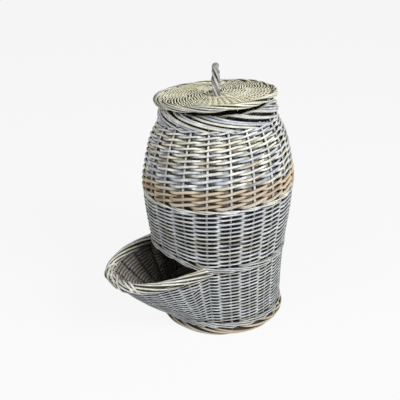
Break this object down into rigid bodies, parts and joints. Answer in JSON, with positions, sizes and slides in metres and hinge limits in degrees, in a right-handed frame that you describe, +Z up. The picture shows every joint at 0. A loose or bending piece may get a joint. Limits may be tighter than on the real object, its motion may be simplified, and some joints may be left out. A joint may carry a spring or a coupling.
{
  "type": "potato basket",
  "caption": "Tall round-bellied woven willow basket with a scoop lip at the foot, a rolled neck border and a loose round lid with a twisted loop handle, for storing and taking out potatoes.",
  "frame": {"origin": "on the floor, under the middle of the whole footprint, belly and scoop together", "axes": "+Z up, the scoop faces -Y, +X to the right seen from the scoop's side"},
  "size_m": [0.3592, 0.477, 0.6296],
  "materials": {
    "weave_pale": "weathered pale peeled willow, matte",
    "weave_grey": "blue-grey washed willow, matte",
    "weave_tan": "tan buff willow, satin",
    "stick": "grey-brown willow stick, matte",
    "lid_cream": "cream and khaki willow, matte",
    "handle_twist": "grey twisted willow, matte"
  },
  "bodies": {
    "basket": {"base_split_stick_1": "stick", "base_split_stick_2": "stick", "base_split_stick_3": "stick", "base_through_stick_1": "stick", "base_through_stick_2": "stick", "base_through_stick_3": "stick", "base_weave": "weave_pale", "foot_border": "weave_tan", "upsett_wale": "weave_grey", "lower_weave": "weave_grey", "scoop_border": "weave_pale", "hem_wale": "weave_grey", "lower_barrel_weave": "weave_grey", "belly_wale": "weave_pale", "tan_band": "weave_tan", "upper_barrel_weave": "weave_pale", "neck_border": "weave_pale", "side_stake_1": "stick", "side_stake_2": "stick", "side_stake_3": "stick", "side_stake_4": "stick", "side_stake_5": "stick", "side_stake_6": "stick", "side_stake_7": "stick", "side_stake_8": "stick", "side_stake_9": "stick", "side_stake_10": "stick", "side_stake_11": "stick", "side_stake_12": "stick", "side_stake_13": "stick", "side_stake_14": "stick", "side_stake_15": "stick", "side_stake_16": "stick", "front_stake_1": "stick", "front_stake_2": "stick", "front_stake_3": "stick", "front_stake_4": "stick", "scoop_stake_1": "stick", "scoop_stake_2": "stick", "scoop_stake_3": "stick", "scoop_stake_4": "stick", "scoop_stake_5": "stick", "scoop_stake_6": "stick", "scoop_stake_7": "stick", "scoop_stake_8": "stick", "scoop_stake_9": "stick"},
    "lid": {"lid_split_stick_1": "stick", "lid_split_stick_2": "stick", "lid_split_stick_3": "stick", "lid_through_stick_1": "stick", "lid_through_stick_2": "stick", "lid_through_stick_3": "stick", "lid_weave": "lid_cream", "lid_border": "lid_cream", "lid_under_ring": "lid_cream", "lid_handle": "handle_twist"}
  },
  "joints": [
    {"name": "lid_lift", "type": "slide", "parent": "basket", "child": "lid", "axis": [0, 0, 1], "range_m": [0, 0.16]}
  ]
}
